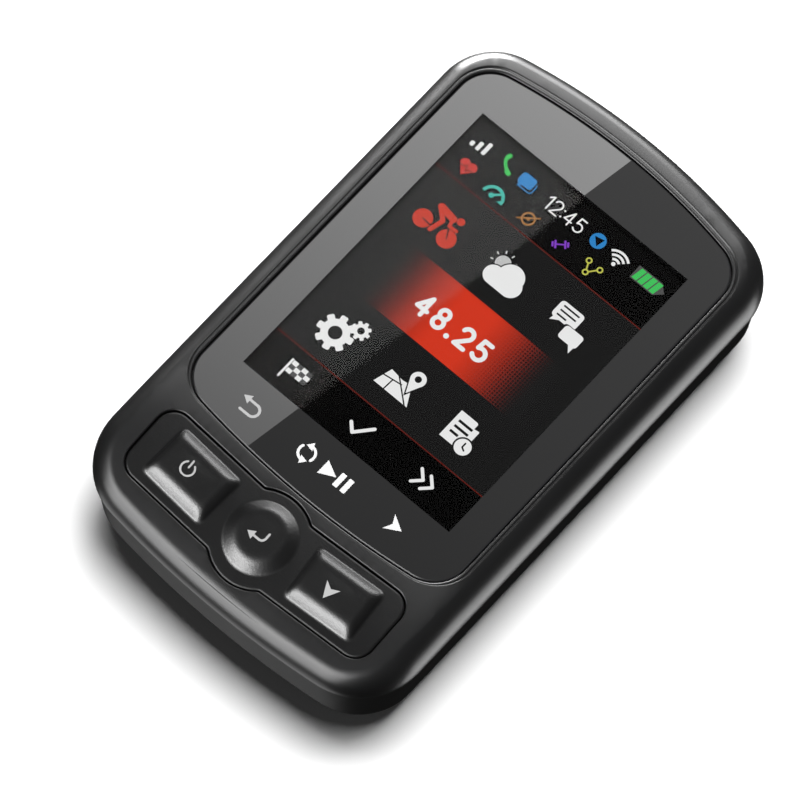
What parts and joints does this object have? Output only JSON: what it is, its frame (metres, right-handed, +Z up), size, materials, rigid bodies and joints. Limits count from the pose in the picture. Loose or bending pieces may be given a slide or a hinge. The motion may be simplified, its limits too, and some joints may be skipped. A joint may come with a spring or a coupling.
{
  "type": "bicycle computer",
  "caption": "Palm-sized cycling computer: flat colour screen under cover glass, rubber keys below, quarter-turn mount and flap-covered charging port on the back.",
  "frame": {"origin": "under the middle of the case, on the plane of the mount's resting face", "axes": "+Z up out of the screen, +Y towards the top of the screen, +X towards the screen's right"},
  "size_m": [0.0504, 0.083, 0.0217],
  "materials": {
    "shell": "satin",
    "key_rubber": "matte",
    "seal_rubber": "matte",
    "cover_glass": "gloss",
    "screen": "gloss",
    "white_plastic": "satin",
    "tape": "matte",
    "foam": "matte",
    "board": "satin",
    "chip": "matte",
    "tin": "satin",
    "steel": "satin",
    "ceramic": "matte",
    "pouch": "satin",
    "flex": "gloss",
    "red_wire": "satin",
    "black_wire": "satin"
  },
  "bodies": {
    "case": {"front_shell": "shell", "rear_shell": "shell", "case_seal": "seal_rubber", "lens": "cover_glass", "lens_tape": "tape", "lcd_frame": "white_plastic", "lcd_light_guide": "white_plastic", "lcd_cell": "screen", "lcd_flex": "flex", "lcd_connector": "white_plastic", "keypad": "key_rubber", "keypad_retainer": "shell", "power_switch_base": "chip", "power_snap_dome": "steel", "enter_switch_base": "chip", "enter_snap_dome": "steel", "down_switch_base": "chip", "down_snap_dome": "steel", "main_board": "board", "gps_antenna": "ceramic", "rf_shield": "tin", "processor": "chip", "memory_chip": "chip", "buzzer": "chip", "barometer": "tin", "vent_membrane": "white_plastic", "usb_socket": "tin", "port_gasket": "seal_rubber", "port_cover_anchor": "key_rubber", "battery": "pouch", "battery_foam": "foam", "battery_wire_red": "red_wire", "battery_wire_black": "black_wire", "battery_plug": "white_plastic", "battery_socket": "white_plastic", "case_screw_top_left": "steel", "case_screw_top_right": "steel", "case_screw_bottom_left": "steel", "case_screw_bottom_right": "steel", "board_screw_left": "steel", "board_screw_right": "steel"},
    "power_key": {"power_key": "key_rubber"},
    "enter_key": {"enter_key": "key_rubber"},
    "down_key": {"down_key": "key_rubber"},
    "port_cover": {"port_cover": "key_rubber"}
  },
  "joints": [
    {"name": "power_key_press", "type": "slide", "parent": "case", "child": "power_key", "axis": [0, 0, -1], "range_m": [0, 0.0005], "stiffness_N_per_m": 4000, "deforming": ["power_snap_dome"]},
    {"name": "enter_key_press", "type": "slide", "parent": "case", "child": "enter_key", "axis": [0, 0, -1], "range_m": [0, 0.0005], "stiffness_N_per_m": 4000, "deforming": ["enter_snap_dome"]},
    {"name": "down_key_press", "type": "slide", "parent": "case", "child": "down_key", "axis": [0, 0, -1], "range_m": [0, 0.0005], "stiffness_N_per_m": 4000, "deforming": ["down_snap_dome"]},
    {"name": "port_cover_hinge", "type": "hinge", "parent": "case", "child": "port_cover", "pos_m": [-0.00785, -0.029, 0.00455], "axis": [0, 1, 0], "range_deg": [0, 105]}
  ]
}
